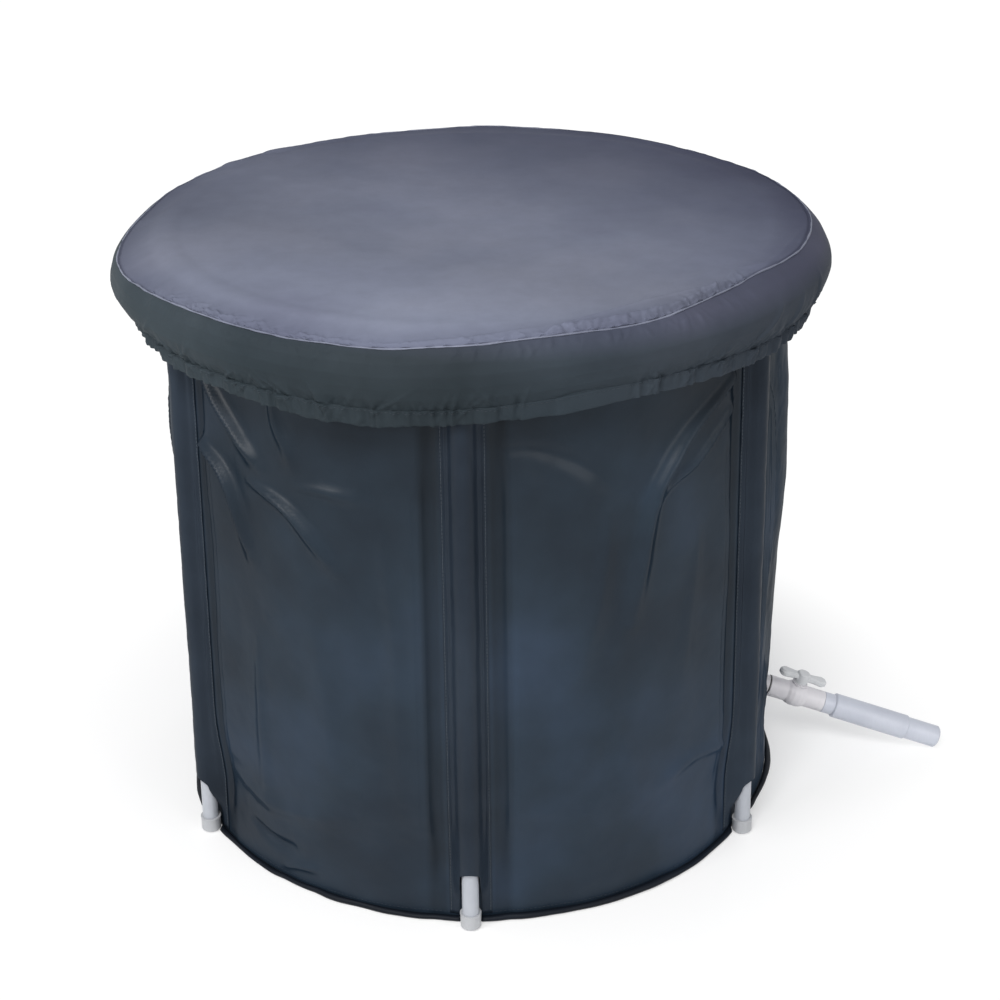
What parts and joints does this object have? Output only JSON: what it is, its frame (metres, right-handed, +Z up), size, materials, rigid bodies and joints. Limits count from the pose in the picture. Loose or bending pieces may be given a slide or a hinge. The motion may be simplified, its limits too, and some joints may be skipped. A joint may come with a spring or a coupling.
{
  "type": "inflatable bathtub",
  "caption": "Round folding fabric bathtub with an air ring at the rim, pole legs in sewn pockets, a fitted cover with an elastic hem and a drain with a ball valve.",
  "frame": {"origin": "on the ground, in the middle of the tub's round floor", "axes": "+Z up; the drain points along +X; one pole stands at -Y, towards the viewer of the picture"},
  "size_m": [1.0427, 0.841, 0.75],
  "materials": {
    "wall_cloth": "smooth coated cloth, slate blue",
    "wall_foam": "closed-cell foam",
    "liner_film": "welded waterproof film",
    "welt_cloth": "bound edge",
    "ring_film": "inflatable film",
    "air_valve": "moulded",
    "lid_top": "brushed cloth, grey violet",
    "lid_side": "coated cloth, dark grey",
    "elastic_band": "woven elastic",
    "pole_pipe": "extruded white pipe",
    "cap": "moulded white",
    "drain_white": "moulded white",
    "drain_pipe": "extruded pipe, bluish white",
    "valve_grip": "moulded pale grey",
    "seal_rubber": "moulded black",
    "seat_plastic": "machined seat ring"
  },
  "bodies": {
    "tub": {"wall_skin": "wall_cloth", "wall_foam_1": "wall_foam", "wall_foam_2": "wall_foam", "wall_foam_3": "wall_foam", "wall_foam_4": "wall_foam", "wall_foam_5": "wall_foam", "wall_foam_6": "wall_foam", "wall_liner": "liner_film", "floor_skin": "wall_cloth", "floor_foam": "wall_foam", "floor_liner": "liner_film", "base_welt": "welt_cloth", "rim_cuff": "lid_side", "air_ring": "ring_film", "air_valve_base": "air_valve", "pole_sleeve_1": "wall_cloth", "pole_sleeve_2": "wall_cloth", "pole_sleeve_3": "wall_cloth", "pole_sleeve_4": "wall_cloth", "pole_sleeve_5": "wall_cloth", "pole_sleeve_6": "wall_cloth", "drain_spout": "drain_white", "drain_gasket": "seal_rubber", "drain_patch": "wall_cloth", "outlet_oring": "seal_rubber", "valve_body": "drain_white", "valve_seat_inlet": "seat_plastic", "valve_seat_outlet": "seat_plastic", "seat_carrier": "drain_white", "drain_coupling": "drain_white", "drain_pipe": "drain_pipe", "drain_nozzle": "drain_white"},
    "lid": {"lid_panel": "lid_top", "lid_piping": "lid_side", "lid_skirt": "lid_side", "lid_hem": "lid_side", "lid_elastic": "elastic_band"},
    "air_plug": {"air_valve_plug": "air_valve"},
    "valve_rotor": {"valve_ball": "drain_white", "valve_stem": "drain_white", "stem_oring": "seal_rubber", "valve_handle": "valve_grip"},
    "pole_1": {"pole_tube_1": "pole_pipe", "foot_cap_1": "cap"},
    "pole_2": {"pole_tube_2": "pole_pipe", "foot_cap_2": "cap"},
    "pole_3": {"pole_tube_3": "pole_pipe", "foot_cap_3": "cap"},
    "pole_4": {"pole_tube_4": "pole_pipe", "foot_cap_4": "cap"},
    "pole_5": {"pole_tube_5": "pole_pipe", "foot_cap_5": "cap"},
    "pole_6": {"pole_tube_6": "pole_pipe", "foot_cap_6": "cap"}
  },
  "joints": [
    {"name": "lid_lift", "type": "slide", "parent": "tub", "child": "lid", "axis": [0, 0, 1], "range_m": [0, 0.4]},
    {"name": "valve_turn", "type": "hinge", "parent": "tub", "child": "valve_rotor", "pos_m": [0.42337, 0, 0.0826], "axis": [0.3338, 0, 0.9426], "range_deg": [0, 90]},
    {"name": "air_plug_pull", "type": "slide", "parent": "tub", "child": "air_plug", "axis": [0, -1, 0], "range_m": [0, 0.03]},
    {"name": "pole_1_draw", "type": "slide", "parent": "tub", "child": "pole_1", "axis": [0, -0.018, -0.9998], "range_m": [0, 0.66]},
    {"name": "pole_2_draw", "type": "slide", "parent": "tub", "child": "pole_2", "axis": [0.0156, -0.009, -0.9998], "range_m": [0, 0.66]},
    {"name": "pole_3_draw", "type": "slide", "parent": "tub", "child": "pole_3", "axis": [0.0156, 0.009, -0.9998], "range_m": [0, 0.66]},
    {"name": "pole_4_draw", "type": "slide", "parent": "tub", "child": "pole_4", "axis": [0, 0.018, -0.9998], "range_m": [0, 0.66]},
    {"name": "pole_5_draw", "type": "slide", "parent": "tub", "child": "pole_5", "axis": [-0.0156, 0.009, -0.9998], "range_m": [0, 0.66]},
    {"name": "pole_6_draw", "type": "slide", "parent": "tub", "child": "pole_6", "axis": [-0.0156, -0.009, -0.9998], "range_m": [0, 0.66]}
  ]
}
